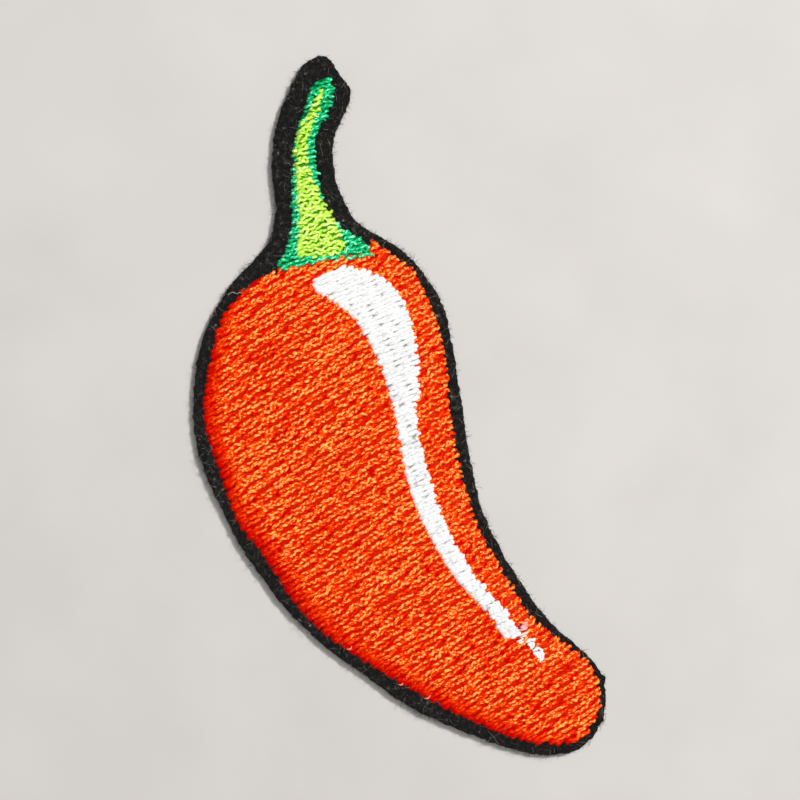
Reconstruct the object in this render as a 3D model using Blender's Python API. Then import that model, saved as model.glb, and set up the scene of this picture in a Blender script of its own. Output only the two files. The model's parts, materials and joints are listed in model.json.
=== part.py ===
"""An embroidered patch in the shape of a chili pepper, lying flat on its back.

Metres, +Z up. The origin is under the middle of the patch, where it lies on the table, and
+Y runs from the fruit's tip towards its stem. From the back up it is a film, the bobbin
thread in the underside of the felt, the felt, and the coloured thread sunk into its front.
"""

import math

import bmesh
import bpy
from mathutils import Vector

MM = 0.001

# Heights of the layers above the table, in millimetres
GAP = 0.2
FILM_THICKNESS = 0.25
FELT_THICKNESS = 1.3
BOBBIN_THICKNESS = 0.2
FELT_BACK = FILM_THICKNESS + GAP
FELT_FRONT = FELT_BACK + FELT_THICKNESS
FRONT_POCKET = 0.5
BODY_RIM = FELT_FRONT + 0.1
BODY_CROWN = FELT_FRONT + 0.62
HIGHLIGHT_FLOOR = FELT_FRONT + 0.12
HIGHLIGHT_RIM = BODY_CROWN - 0.12
HIGHLIGHT_CROWN = BODY_CROWN + 0.12
STEM_RIM = FELT_FRONT + 0.08
STEM_CROWN = FELT_FRONT + 0.45
CORE_FLOOR = FELT_FRONT - 0.02
CORE_RIM = STEM_CROWN - 0.1
CORE_CROWN = STEM_CROWN + 0.14
CUTTER_RISE = 3.0

# The rows of thread. Three rows of 0.43 mm thread stand up together as one ridge.
THREAD_PITCH = 0.43
RIDGE_PITCH = 3 * THREAD_PITCH
BODY_ROW_ANGLE = 30.5
HIGHLIGHT_ROW_ANGLE = 23.0
STEM_ROW_ANGLE = 22.0
RIDGE_RISE = 0.2
STITCH_DIP = 0.12
TOOTH = 0.12
SHOULDER = 0.9
ROW_TRIM = 0.15
DIP_EVERY = 3
BODY_COLUMNS = 14
HIGHLIGHT_COLUMNS = 6
STEM_COLUMNS = 8
CORE_COLUMNS = 6

# How far the film's edge and the bobbin thread's edge lie inside what covers them
FILM_INSET = 0.35
BOBBIN_INSET = 0.5

# Outlines in millimetres, clockwise from the top, with points only where the line bends
FELT_OUTLINE = [
    (-8.7, 40.2), (-7.1, 38.2), (-5.7, 36.3), (-6.4, 33.9), (-7.5, 31.4), (-7.8, 28.6),
    (-7.1, 25.0), (-5.1, 21.4), (-1.75, 19.2), (0.75, 17.6), (3.1, 14.9), (5.1, 11.4),
    (5.9, 7.4), (6.7, 2.3), (7.7, -3.6), (9.1, -10.5), (10.7, -15.0), (13.6, -19.7),
    (17.4, -24.9), (21.8, -28.9), (23.7, -32.0), (23.4, -36.2), (21.2, -39.2), (18.0, -40.1),
    (13.9, -39.7), (7.8, -37.6), (0.9, -34.8), (-5.0, -30.6), (-9.4, -27.3), (-14.1, -22.2),
    (-18.4, -16.6), (-21.2, -10.8), (-23.2, -5.2), (-23.8, 0.7), (-23.1, 6.7), (-20.8, 11.8),
    (-17.6, 15.9), (-15.2, 18.8), (-14.4, 22.4), (-14.7, 27.6), (-14.2, 32.4), (-12.7, 36.2),
    (-11.2, 39.1),
]
BODY_OUTLINE = [
    (-13.3, 15.3), (-8.0, 16.6), (-3.4, 18.6), (-0.6, 17.1), (1.5, 15.4), (3.3, 11.9),
    (4.7, 7.8), (5.4, 3.4), (5.8, -1.8), (6.9, -7.6), (8.6, -13.2), (11.2, -18.2),
    (15.2, -24.4), (19.0, -27.5), (22.0, -30.1), (23.0, -33.6), (22.3, -36.4), (20.6, -38.3),
    (17.6, -38.9), (13.0, -38.1), (8.9, -36.4), (3.8, -33.9), (-4.4, -29.1), (-8.5, -26.2),
    (-12.1, -22.5), (-15.8, -16.9), (-18.5, -13.4), (-20.6, -7.7), (-22.4, -1.7), (-22.1, 3.3),
    (-20.9, 8.7), (-19.9, 10.9), (-17.4, 14.0), (-15.9, 15.1),
]
HIGHLIGHT_OUTLINE = [
    (-9.9, 13.7), (-9.0, 15.3), (-7.0, 16.1), (-3.8, 15.6), (-1.4, 14.5), (0.5, 12.3),
    (1.8, 8.4), (2.2, 3.0), (2.1, -1.6), (3.3, -7.2), (4.4, -11.1), (5.7, -14.4),
    (8.6, -19.1), (12.2, -23.6), (14.3, -26.0), (12.9, -26.4), (10.0, -23.7), (6.4, -19.9),
    (4.1, -16.5), (2.0, -12.4), (0.6, -8.0), (-0.2, -3.4), (-1.3, 1.6), (-3.5, 7.6),
    (-6.3, 11.2), (-8.6, 12.6),
]
STEM_OUTLINE = [
    (-8.5, 38.0), (-7.6, 36.4), (-7.8, 34.5), (-9.1, 32.3), (-9.8, 30.0), (-9.5, 26.9),
    (-8.7, 23.2), (-6.7, 20.5), (-4.1, 19.1), (-3.1, 17.8), (-4.1, 17.0), (-8.6, 16.6),
    (-11.7, 15.8), (-14.3, 15.6), (-13.0, 18.3), (-12.5, 21.8), (-12.4, 27.6), (-12.0, 31.7),
    (-10.9, 34.4), (-10.1, 36.9),
]
CORE_OUTLINE = [
    (-8.9, 36.7), (-8.8, 35.2), (-9.8, 32.6), (-10.4, 30.1), (-10.4, 27.7), (-9.2, 24.3),
    (-7.3, 20.8), (-6.0, 18.5), (-7.0, 17.5), (-11.0, 16.9), (-12.0, 17.4), (-11.7, 21.1),
    (-12.0, 25.8), (-11.9, 30.8), (-10.6, 33.7), (-9.6, 36.0),
]

# The short white stitches past the highlight's end: middle, length, width and angle
END_STITCHES = [
    ((13.95, -27.3), 0.9, 0.4, 32.0),
    ((15.0, -27.2), 1.2, 0.9, 60.0),
    ((15.95, -28.7), 1.6, 1.25, 105.0),
]
END_STITCH_SINK = 0.3
END_STITCH_HEIGHT = 0.62

LOOP_STEPS = 3
SMALL_LOOP_POINTS = 14
SMALL_RINGS = 8

FELT_BLACK = (0.118, 0.106, 0.098)
THREAD_RED = (0.941, 0.235, 0.06)
THREAD_WHITE = (0.96, 0.96, 0.96)
THREAD_EMERALD = (0.0, 0.588, 0.314)
THREAD_LIME = (0.725, 0.863, 0.176)
BOBBIN_WHITE = (0.86, 0.85, 0.82)
FILM_GREY = (0.80, 0.80, 0.78)


def clear_scene():
    """Starts from a scene with no objects."""
    for old in list(bpy.data.objects):
        bpy.data.objects.remove(old, do_unlink=True)


def new_collection(name):
    """A collection linked to the scene."""
    collection = bpy.data.collections.new(name)
    bpy.context.scene.collection.children.link(collection)
    return collection


def linear(channel):
    """A display colour channel as the linear value that a shader takes."""
    if channel <= 0.04045:
        return channel / 12.92
    return ((channel + 0.055) / 1.055) ** 2.4


def new_material(name, colour, roughness, sheen=0.0):
    """A Principled material of one colour."""
    material = bpy.data.materials.new(name)
    material.use_nodes = True
    shader = material.node_tree.nodes["Principled BSDF"]
    shader.inputs["Base Color"].default_value = [linear(c) for c in colour] + [1.0]
    shader.inputs["Roughness"].default_value = roughness
    shader.inputs["Metallic"].default_value = 0.0
    shader.inputs["Sheen Weight"].default_value = sheen
    return material


def smooth_loop(points, steps=LOOP_STEPS):
    """A closed Catmull-Rom line through the points, with this many steps between two."""
    count = len(points)
    loop = []
    for index in range(count):
        before, here, after, beyond = (Vector(points[(index + k) % count]) for k in (-1, 0, 1, 2))
        for step in range(steps):
            t = step / steps
            flat = 2 * here + (after - before) * t
            bend = (2 * before - 5 * here + 4 * after - beyond) * t**2
            twist = (3 * here - before - 3 * after + beyond) * t**3
            loop.append((flat + bend + twist) / 2)
    return loop


def grown(loop, distance):
    """The loop with each point moved outwards by the distance, or inwards if it is negative."""
    following = loop[1:] + loop[:1]
    turning = sum(a.x * b.y - b.x * a.y for a, b in zip(loop, following))
    side = distance * math.copysign(1, turning)
    moved = []
    for before, point, after in zip(loop[-1:] + loop[:-1], loop, following):
        way = (after - before).normalized()
        moved.append(point + side * Vector((way.y, -way.x)))
    return moved


def flat_piece(name, loop, low, high, collection, material=None):
    """A plate with this outline between two heights: a filled 2D curve, made a closed mesh."""
    curve = bpy.data.curves.new(name, "CURVE")
    curve.dimensions = "2D"
    curve.fill_mode = "BOTH"
    curve.extrude = (high - low) / 2 * MM
    spline = curve.splines.new("POLY")
    spline.points.add(len(loop) - 1)
    for point, place in zip(spline.points, loop):
        point.co = (place.x * MM, place.y * MM, 0, 1)
    spline.use_cyclic_u = True
    drawn = bpy.data.objects.new(name + "_curve", curve)
    collection.objects.link(drawn)
    drawn.location.z = (low + high) / 2 * MM
    bpy.context.view_layer.update()
    seen = drawn.evaluated_get(bpy.context.evaluated_depsgraph_get())
    mesh = bpy.data.meshes.new_from_object(seen)
    weld(mesh)
    piece = bpy.data.objects.new(name, mesh)
    piece.matrix_world = drawn.matrix_world
    bpy.data.objects.remove(drawn)
    bpy.data.curves.remove(curve)
    collection.objects.link(piece)
    if material:
        piece.data.materials.clear()
        piece.data.materials.append(material)
    return piece


def weld(mesh):
    """Joins the loose caps of a mesh that came from a curve, with its faces pointing out."""
    work = bmesh.new()
    work.from_mesh(mesh)
    bmesh.ops.remove_doubles(work, verts=work.verts, dist=0.01 * MM)
    bmesh.ops.recalc_face_normals(work, faces=work.faces)
    work.to_mesh(mesh)
    work.free()


def row_ends(loop, offset, along, across):
    """Where the row at this offset enters and leaves the loop, as distances along it."""
    crossings = []
    for start, end in zip(loop, loop[1:] + loop[:1]):
        side_start = start.dot(across) - offset
        side_end = end.dot(across) - offset
        if (side_start > 0) != (side_end > 0):
            crossing = start.lerp(end, side_start / (side_start - side_end))
            crossings.append(crossing.dot(along))
    return min(crossings), max(crossings)


def stitched_height(line, column, columns, from_end, rim, crown):
    """The height of the thread: a swell from the rim, ridges, and a dip where stitches end."""
    swell = 1 - math.exp(-from_end / SHOULDER)
    height = rim + (crown - rim) * swell
    if column in (0, columns):
        return height
    on_ridge = line % 2 == 1
    height += RIDGE_RISE / 2 if on_ridge else -RIDGE_RISE / 2
    if on_ridge and (column + line // 2) % DIP_EVERY == 0:
        height -= STITCH_DIP
    return height


def stitched_field(name, loop, angle, columns, base, rim, crown, collection, material):
    """A pad of thread rows. Each row runs from edge to edge of the loop at this angle.

    A grid has one line of points on each ridge and in each groove between two ridges. The
    ridges end a little past the loop and the grooves a little inside, so its edge is toothed.
    """
    turn = math.radians(angle)
    along = Vector((math.cos(turn), math.sin(turn)))
    across = Vector((-math.sin(turn), math.cos(turn)))
    offsets = [point.dot(across) for point in loop]
    low = min(offsets) + ROW_TRIM
    high = max(offsets) - ROW_TRIM
    lines = 2 * round((high - low) / RIDGE_PITCH)
    work = bmesh.new()
    bmesh.ops.create_grid(work, x_segments=columns, y_segments=lines, size=1)
    in_order = sorted(work.verts, key=lambda v: (round(v.co.y, 4), round(v.co.x, 4)))
    for index, vert in enumerate(in_order):
        line, column = divmod(index, columns + 1)
        offset = low + (high - low) * line / lines
        start, end = row_ends(loop, offset, along, across)
        reach = TOOTH if line % 2 == 1 else -TOOTH
        start, end = start - reach, end + reach
        share = (1 - math.cos(math.pi * column / columns)) / 2
        place = along * (start + (end - start) * share) + across * offset
        from_end = min(share, 1 - share) * (end - start)
        height = stitched_height(line, column, columns, from_end, rim, crown)
        vert.co = (place.x * MM, place.y * MM, height * MM)
    close_below(work, base * MM)
    mesh = bpy.data.meshes.new(name)
    work.to_mesh(mesh)
    work.free()
    piece = bpy.data.objects.new(name, mesh)
    collection.objects.link(piece)
    mesh.materials.append(material)
    return piece


def close_below(work, base):
    """Drops walls from an open sheet's edge to a flat underside, and closes it."""
    rim_edges = [edge for edge in work.edges if edge.is_boundary]
    made = bmesh.ops.extrude_edge_only(work, edges=rim_edges)
    for item in made["geom"]:
        if isinstance(item, bmesh.types.BMVert):
            item.co.z = base
    open_edges = [edge for edge in work.edges if edge.is_boundary]
    bmesh.ops.contextual_create(work, geom=open_edges)
    bmesh.ops.triangulate(work, faces=work.faces)
    bmesh.ops.recalc_face_normals(work, faces=work.faces)


def end_stitch(name, middle, length, width, angle, base, collection, material, spare=0.0):
    """A short loose stitch: half of a long round bead with a flat underside."""
    work = bmesh.new()
    bmesh.ops.create_uvsphere(work, u_segments=SMALL_LOOP_POINTS, v_segments=SMALL_RINGS, radius=1)
    halves = work.verts[:] + work.edges[:] + work.faces[:]
    bmesh.ops.bisect_plane(
        work, geom=halves, plane_co=(0, 0, 0), plane_no=(0, 0, -1), clear_outer=True, dist=1e-6
    )
    open_edges = [edge for edge in work.edges if edge.is_boundary]
    bmesh.ops.contextual_create(work, geom=open_edges)
    bmesh.ops.recalc_face_normals(work, faces=work.faces)
    for vert in work.verts:
        vert.co.x *= (length / 2 + spare) * MM
        vert.co.y *= (width / 2 + spare) * MM
        vert.co.z *= (END_STITCH_HEIGHT + spare) * MM
    mesh = bpy.data.meshes.new(name)
    work.to_mesh(mesh)
    work.free()
    piece = bpy.data.objects.new(name, mesh)
    piece.location = (middle[0] * MM, middle[1] * MM, base * MM)
    piece.rotation_euler.z = math.radians(angle)
    collection.objects.link(piece)
    if material:
        mesh.materials.append(material)
    return piece


def cut(piece, cutter):
    """Takes the cutter's space out of the piece, and keeps the cutter out of sight."""
    cutter.hide_render = True
    cutter.display_type = "WIRE"
    modifier = piece.modifiers.new("cut_" + cutter.name, "BOOLEAN")
    modifier.operation = "DIFFERENCE"
    modifier.solver = "EXACT"
    modifier.object = cutter


def build_film(patch):
    """The film that closes the back, a little smaller than the felt."""
    material = new_material("backing_film", FILM_GREY, 0.35)
    loop = grown(smooth_loop(FELT_OUTLINE), -FILM_INSET)
    flat_piece("backing_film", loop, 0.0, FILM_THICKNESS, patch, material)


def build_bobbin(patch, cutters, areas):
    """The bobbin thread that locks each stitched area from behind, and room for it."""
    material = new_material("bobbin_thread", BOBBIN_WHITE, 0.6)
    top = FELT_BACK + BOBBIN_THICKNESS
    threads = []
    rooms = []
    for name, loop in areas.items():
        threads.append(
            flat_piece(name, grown(loop, -BOBBIN_INSET), FELT_BACK, top, patch, material)
        )
        room_loop = grown(loop, GAP - BOBBIN_INSET)
        rooms.append(flat_piece(name + "_room", room_loop, -GAP, top + GAP, cutters))
    body_thread, stem_room = threads[0], rooms[1]
    cut(body_thread, stem_room)
    return rooms


def build_felt(patch, cutters, front_areas, back_rooms):
    """The cut felt shape, pressed in where thread lies on its front and on its back."""
    material = new_material("felt", FELT_BLACK, 0.95, sheen=0.4)
    felt = flat_piece(
        "felt_base", smooth_loop(FELT_OUTLINE), FELT_BACK, FELT_FRONT, patch, material
    )
    floor = FELT_FRONT - FRONT_POCKET
    for name, loop in front_areas.items():
        pocket_loop = grown(loop, TOOTH + GAP)
        cut(felt, flat_piece(name + "_pocket", pocket_loop, floor, CUTTER_RISE, cutters))
    for room in back_rooms:
        cut(felt, room)


def build_body(patch, cutters, body_loop, highlight_loop, stem_loop):
    """The red fill, with a channel for the highlight and room for the stem and end stitches."""
    red = new_material("red_thread", THREAD_RED, 0.4, sheen=0.2)
    white = new_material("white_thread", THREAD_WHITE, 0.4, sheen=0.2)
    base = FELT_FRONT - FRONT_POCKET + GAP
    body = stitched_field(
        "body_fill_stitches", body_loop, BODY_ROW_ANGLE, BODY_COLUMNS, base, BODY_RIM, BODY_CROWN,
        patch, red,
    )
    channel_loop = grown(highlight_loop, TOOTH + GAP)
    cut(body, flat_piece("highlight_channel", channel_loop, HIGHLIGHT_FLOOR, CUTTER_RISE, cutters))
    stem_room = grown(stem_loop, TOOTH + GAP)
    cut(body, flat_piece("stem_room", stem_room, 0.0, CUTTER_RISE, cutters))
    stitched_field(
        "highlight_stitches", highlight_loop, HIGHLIGHT_ROW_ANGLE, HIGHLIGHT_COLUMNS,
        HIGHLIGHT_FLOOR + GAP, HIGHLIGHT_RIM, HIGHLIGHT_CROWN, patch, white,
    )
    seat = BODY_CROWN - END_STITCH_SINK
    for number, (middle, length, width, angle) in enumerate(END_STITCHES, 1):
        name = f"highlight_end_stitch_{number}"
        end_stitch(name, middle, length, width, angle, seat, patch, white)
        room = end_stitch(
            name + "_room", middle, length, width, angle, seat - GAP, cutters, None, GAP
        )
        cut(body, room)


def build_stem(patch, cutters, stem_loop, core_loop):
    """The stem: emerald thread round its edge, with a core of lime thread in a channel."""
    emerald = new_material("emerald_thread", THREAD_EMERALD, 0.4, sheen=0.2)
    lime = new_material("lime_thread", THREAD_LIME, 0.4, sheen=0.2)
    base = FELT_FRONT - FRONT_POCKET + GAP
    stem = stitched_field(
        "stem_edge_stitches", stem_loop, STEM_ROW_ANGLE, STEM_COLUMNS, base, STEM_RIM,
        STEM_CROWN, patch, emerald,
    )
    channel_loop = grown(core_loop, TOOTH + GAP / 2)
    cut(stem, flat_piece("core_channel", channel_loop, CORE_FLOOR, CUTTER_RISE, cutters))
    stitched_field(
        "stem_core_stitches", core_loop, STEM_ROW_ANGLE, CORE_COLUMNS, CORE_FLOOR + GAP,
        CORE_RIM, CORE_CROWN, patch, lime,
    )


def main():
    clear_scene()
    patch = new_collection("chili_patch")
    cutters = new_collection("cutters")
    body_loop = smooth_loop(BODY_OUTLINE)
    highlight_loop = smooth_loop(HIGHLIGHT_OUTLINE)
    stem_loop = smooth_loop(STEM_OUTLINE)
    core_loop = smooth_loop(CORE_OUTLINE)
    build_film(patch)
    bobbin_areas = {"bobbin_stitches_body": body_loop, "bobbin_stitches_stem": stem_loop}
    back_rooms = build_bobbin(patch, cutters, bobbin_areas)
    build_felt(patch, cutters, {"body": body_loop, "stem": stem_loop}, back_rooms)
    build_body(patch, cutters, body_loop, highlight_loop, stem_loop)
    build_stem(patch, cutters, stem_loop, core_loop)


main()
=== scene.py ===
"""The looks of an embroidered patch in the shape of a chili pepper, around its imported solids.

Lengths are in millimetres until a mesh is written in metres. The stitches are real threads of
two twisted plies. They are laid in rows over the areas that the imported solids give.
"""

import json
import math
from collections import namedtuple

import bmesh
import bpy
import numpy as np
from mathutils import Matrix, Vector
from mathutils.geometry import delaunay_2d_cdt

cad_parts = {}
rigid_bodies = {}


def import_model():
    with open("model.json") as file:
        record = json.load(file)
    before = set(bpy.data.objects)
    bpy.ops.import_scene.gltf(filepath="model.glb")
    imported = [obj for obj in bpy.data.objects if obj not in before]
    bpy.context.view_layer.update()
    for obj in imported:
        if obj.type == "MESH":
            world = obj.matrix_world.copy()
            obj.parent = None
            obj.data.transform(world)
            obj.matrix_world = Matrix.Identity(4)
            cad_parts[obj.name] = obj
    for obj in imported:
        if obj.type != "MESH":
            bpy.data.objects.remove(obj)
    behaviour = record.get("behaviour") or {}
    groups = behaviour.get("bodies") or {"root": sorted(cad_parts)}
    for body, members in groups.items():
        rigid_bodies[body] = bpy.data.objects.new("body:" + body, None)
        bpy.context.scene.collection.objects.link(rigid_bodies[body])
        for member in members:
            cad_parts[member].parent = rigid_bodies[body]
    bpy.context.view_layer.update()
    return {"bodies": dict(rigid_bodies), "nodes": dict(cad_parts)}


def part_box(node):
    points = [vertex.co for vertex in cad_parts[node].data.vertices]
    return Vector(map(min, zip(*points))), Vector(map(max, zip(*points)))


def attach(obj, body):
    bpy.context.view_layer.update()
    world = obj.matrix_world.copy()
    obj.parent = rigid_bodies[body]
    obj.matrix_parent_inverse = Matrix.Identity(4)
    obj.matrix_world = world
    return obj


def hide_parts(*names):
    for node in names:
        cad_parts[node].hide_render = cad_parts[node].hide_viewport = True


MM = 0.001
RNG = np.random.default_rng(2611)
NOISE_TABLE = RNG.uniform(-1, 1, (128, 128))

# A thread: its radius, the length of one turn of its two plies, how far the turns drift, and
# a length of turn so long that the plies run straight
THREAD_RADIUS = 0.215
TWIST_LENGTH = 1.62
TWIST_DRIFT = 2.4
STRAIGHT = 1000.0

# Its section: how deep the waist between the plies is, how far it spreads sideways and is
# pressed down, where its corners are in degrees, and how far apart the sections are
WAIST = 0.5
SPREAD = 1.36
PRESSED = 0.72
SECTION = (-112, -84, -56, -28, 0, 28, 56, 84, 112, 180)
RING_STEP = 0.135

# The rows of the red fill, as counted in the photograph. Each row's needle holes are a third
# of a stitch on from those of the row before, give or take the stray.
ROW_PITCH = 0.427
ROW_ANGLE = 30.5
STITCH_LENGTH = 7.93
STITCH_SHIFT = 1 / 3
HOLE_STRAY = 0.25

# In any field: how far its outer rows stay inside it, as a share of the pitch, the shortest
# row that is laid, and the shortest stretch that is kept beside a hole
ROW_MARGIN = 0.35
SHORTEST_ROW = 0.5
SHORTEST_REST = 0.25

# The rows of the white stripe and of the stem
HIGHLIGHT_ANGLE = 25.0
HIGHLIGHT_STITCH = 5.2
STEM_ANGLE = 21.0
STEM_PITCH = 0.32
STEM_RADIUS = 0.175
STEM_EDGE_STITCH = 3.1
STEM_CORE_STITCH = 3.4

# The rows of bobbin thread on the back
BOBBIN_PITCH = 0.5
BOBBIN_RADIUS = 0.17
BOBBIN_STEP = 0.8
SHORTEST_BOBBIN = 0.6
BOBBIN_SECTION = (0, 72, 144, 216, 288)

# The white stripe's lower tip and the corner beside it, and the lines of the stitches past them
STRIPE_TIP = np.array((12.1, -26.2))
STRIPE_CORNER = np.array((14.1, -25.8))
END_STROKES = (
    (
        ((13.41, -27.13), (13.78, -26.92), (14.15, -26.69)),
        ((13.59, -27.31), (13.89, -27.17), (14.21, -26.99)),
    ),
    (
        ((14.42, -27.15), (14.90, -26.88), (15.53, -26.83)),
        ((14.70, -27.31), (14.97, -27.47), (15.07, -27.96)),
        ((15.00, -27.15), (15.29, -27.34), (15.25, -27.84)),
    ),
    (
        ((15.23, -28.19), (15.80, -27.82), (16.42, -28.14)),
        ((16.05, -28.07), (16.40, -28.58), (16.26, -29.29)),
        ((15.71, -28.19), (16.12, -28.72), (16.08, -29.47)),
        ((15.39, -28.30), (15.76, -28.74), (15.85, -29.36)),
    ),
)
CREAM_STROKES = (
    ((13.64, -26.39), (14.09, -26.21), (14.63, -26.00)),
    ((13.82, -26.60), (14.17, -26.46), (14.44, -26.35)),
)
PINK_STROKES = (
    ((13.82, -25.73), (14.19, -25.59), (14.56, -25.50)),
    ((13.87, -25.40), (14.21, -25.27), (14.61, -25.17)),
    ((14.10, -25.08), (14.54, -24.90)),
)
MAUVE_STROKES = (
    ((13.57, -25.63), (13.66, -25.43), (13.78, -25.22)),
)

# Two pale thread ends on the felt beside the fill
LOOSE_STROKES = (
    ((-19.83, 12.73), (-19.27, 13.03), (-18.75, 12.87)),
    ((-18.79, 12.78), (-18.45, 13.01), (-18.05, 12.91)),
)

# Thread loops at the fill's lower left edge, paler from thinner fibres and from painted sheen
LOOP_STROKES = (
    ((-6.15, -27.98), (-5.69, -27.92), (-5.54, -27.61)),
    ((-0.17, -32.04), (0.17, -32.06), (0.32, -31.87)),
    ((2.76, -33.64), (3.22, -33.59), (3.51, -33.27)),
)

# How much closer to the fill the felt was cut than its solid, near each of these places
RIM_TRIMS = (
    ((-1.2, -33.4), 0.30),
    ((-6.6, -29.5), 0.34),
    ((-18.9, -15.6), 0.33),
    ((-23.2, 6.3), 0.15),
    ((-18.3, 15.2), -0.14),
    ((-15.4, 19.4), 0.24),
    ((-2.2, 19.6), 0.18),
    ((3.4, 14.4), 0.22),
    ((8.4, -7.5), 0.16),
    ((15.4, -22.6), 0.28),
    ((23.2, -32.0), 0.22),
    ((12.6, -39.3), -0.12),
)

# How far along the rim a trim reaches, and how much the untrimmed rim holds against it
TRIM_REACH = 4.2
TRIM_REST = 0.2

# Nicks and points that the scissors left at the felt's tip: place, inward shift and width
RIM_NICKS = (
    ((23.77, -31.30), -0.55, 0.38),
    ((23.40, -32.10), 0.30, 0.35),
    ((23.50, -36.34), -0.32, 0.32),
    ((23.10, -36.95), 0.15, 0.40),
)

# How deep a stitch dives and from how far, at a needle hole and at its row's ends
DIP_DEPTH = 0.3
DIP_REACH = 1.25
EDGE_DROP = 0.5
EDGE_REACH = 0.2

# How a row strays sideways and rises: each wave's height, how fast it goes, and its seed
STRAYS = ((0.1, 0.5, 0.37), (0.1, 1.3, 5.1), (0.05, 2.6, 7.7))
RISES = ((0.1, 1.0, 2.9), (0.1, 2.4, 6.9))
CURLS = 2.6
CURL_RISE = 2.3

# How far a needle hole pushes the rows beside it aside and up, and how two rows that are
# joined by a turn close up at it
HOLE_PUSH = 0.07
HOLE_LIFT = 0.03
PAIR_PULL = 0.18
PAIR_REACH = 0.35

# How high a field's edge stands: the fill and the stem over the felt, the stripe over the
# fill, and the lime thread under the emerald's top. Then how far in the fields are full.
BODY_RIM = 0.12
STEM_RIM = 0.15
STRIPE_RIM = 0.08
CORE_RIM = 0.08
BODY_SHOULDER = 0.9
STEM_SHOULDER = 0.6
STRIPE_SHOULDER = 0.6
CORE_SHOULDER = 0.5

# How far the red rows run on under the stripe, and how deep a sheet lies under the threads
STRIPE_OVERLAP = 0.45
SHEET_DROP = 0.32

# The plain band where the fill's rows turn down at the left: how strong it is and how far it
# reaches, how far the turn itself does, and how deep the dark valleys in the fill are
# The band is painted shade where the rows turn from the light; the valleys get it too
BAND = 0.68
BAND_REACH = 2.0
TURN_REACH = 0.8
VALLEY_DEPTH = 0.14

# How far the stripe's three rows of each tooth reach past its edge, and the shortest of its
# rows that has needle holes
TEETH = (0.09, 0.03, -0.06)
STRIPE_UNBROKEN = 2.6

# The felt's mesh: the steps along its rim and over its face, how far the face's points
# stray, and the rings of its cut wall, from the rim's drop down to the back
RIM_STEP = 0.3
FACE_STEP = 0.24
FACE_STRAY = 0.06
RIM_DROP = 0.22
WALL_RINGS = 5

# The felt's fibres: how many lie matted on it, and how many stand off its cut edge
MATTED_FIBRES = 3400
EDGE_HAIRS = 900
FIBRE_SECTION = (0, 120, 240)

# The upper corner of the stem's foot, which is rounded off
FOOT_CORNER = np.array((-3.6, 19.2))

# How far the red fill runs on under the stem's foot
UNDER_STEM_NEAR = 0.45
UNDER_STEM = 0.85

# The view: straight down, with the photograph's middle and width
VIEW_WIDTH = 92.0
VIEW_MIDDLE = (0.0, 0.656)
LENS = 100.0
SENSOR = 36.0

# The colours of each thread from its depths to its crests, as places and display colours
# Low colours are painted shade in holes and valleys, high ones painted highlight on crests
WHITE = (255, 255, 255)
RED_STOPS = (
    (0.0, (192, 0, 0)),
    (0.2, (210, 2, 0)),
    (0.4, (228, 44, 0)),
    (0.65, (242, 92, 6)),
    (0.92, (255, 166, 86)),
)
WHITE_STOPS = (
    (0.0, (140, 138, 138)),
    (0.22, (206, 205, 204)),
    (0.5, (226, 226, 225)),
    (1.0, (240, 240, 239)),
)
EMERALD_STOPS = (
    (0.0, (0, 84, 40)),
    (0.2, (0, 132, 72)),
    (0.4, (2, 172, 100)),
    (0.65, (48, 214, 146)),
    (0.92, (160, 250, 210)),
)
LIME_STOPS = (
    (0.0, (40, 122, 8)),
    (0.2, (124, 190, 34)),
    (0.4, (182, 228, 72)),
    (0.65, (212, 246, 108)),
    (0.92, (242, 255, 172)),
)

# How needle holes show in a field: how far each darkens its row, how much, how sharply, and
# how unevenly
# The darkening is painted shade, beside the threads' real dips into the holes
Dash = namedtuple("Dash", "reach dark sharp uneven")
RED_DASH = Dash(1.9, 0.9, 1.0, 0.0)
WHITE_DASH = Dash(0.6, 0.8, 0.6, 1.6)
EMERALD_DASH = Dash(0.7, 0.6, 1.0, 0.0)
LIME_DASH = Dash(0.6, 0.8, 1.0, 0.0)


# Numbers


def noise(x, y):
    """Smooth values from -1 to 1 over the plane, with about one swell in each unit."""
    x, y = np.asarray(x, float), np.asarray(y, float)
    column, row = np.floor(x).astype(int), np.floor(y).astype(int)
    u, v = x - column, y - row
    u, v = u * u * (3 - 2 * u), v * v * (3 - 2 * v)
    size = len(NOISE_TABLE)
    near = NOISE_TABLE[column % size, row % size] * (1 - u)
    near = near + NOISE_TABLE[(column + 1) % size, row % size] * u
    far = NOISE_TABLE[column % size, (row + 1) % size] * (1 - u)
    far = far + NOISE_TABLE[(column + 1) % size, (row + 1) % size] * u
    return near * (1 - v) + far * v


def waves(place, row, terms):
    """Smooth values along a row: a sum of noises, each with its height, speed and seed."""
    return sum(height * noise(place * speed, row * seed) for height, speed, seed in terms)


def bell(distance, width):
    """1 at no distance, and falling to nothing past the width."""
    return np.exp(-((distance / width) ** 2))


def swelling(points, loop, reach):
    """From 0 on the loop's line to 1 further than the reach from it."""
    return 1 - np.exp(-distance_to(points, loop) / reach)


# Outlines


def flat_loops(node, at_top):
    """The outlines of a node's flat top or underside, the longest first."""
    work = bmesh.new()
    work.from_mesh(node.data)
    bmesh.ops.remove_doubles(work, verts=work.verts, dist=1e-6)
    heights = [vert.co.z for vert in work.verts]
    level = max(heights) if at_top else min(heights)
    flat = {f for f in work.faces if all(abs(v.co.z - level) < 3e-6 for v in f.verts)}
    beside = {}
    for edge in work.edges:
        if sum(face in flat for face in edge.link_faces) == 1:
            for here, there in (edge.verts, reversed(edge.verts)):
                beside.setdefault(here, []).append(there)
    loops = []
    while beside:
        start = here = next(iter(beside))
        loop = []
        while here in beside:
            loop.append((here.co.x / MM, here.co.y / MM))
            onward = beside.pop(here)
            here = next((vert for vert in onward if vert in beside), start)
        loops.append(np.array(loop))
    work.free()
    return sorted(loops, key=length_of, reverse=True)


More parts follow.
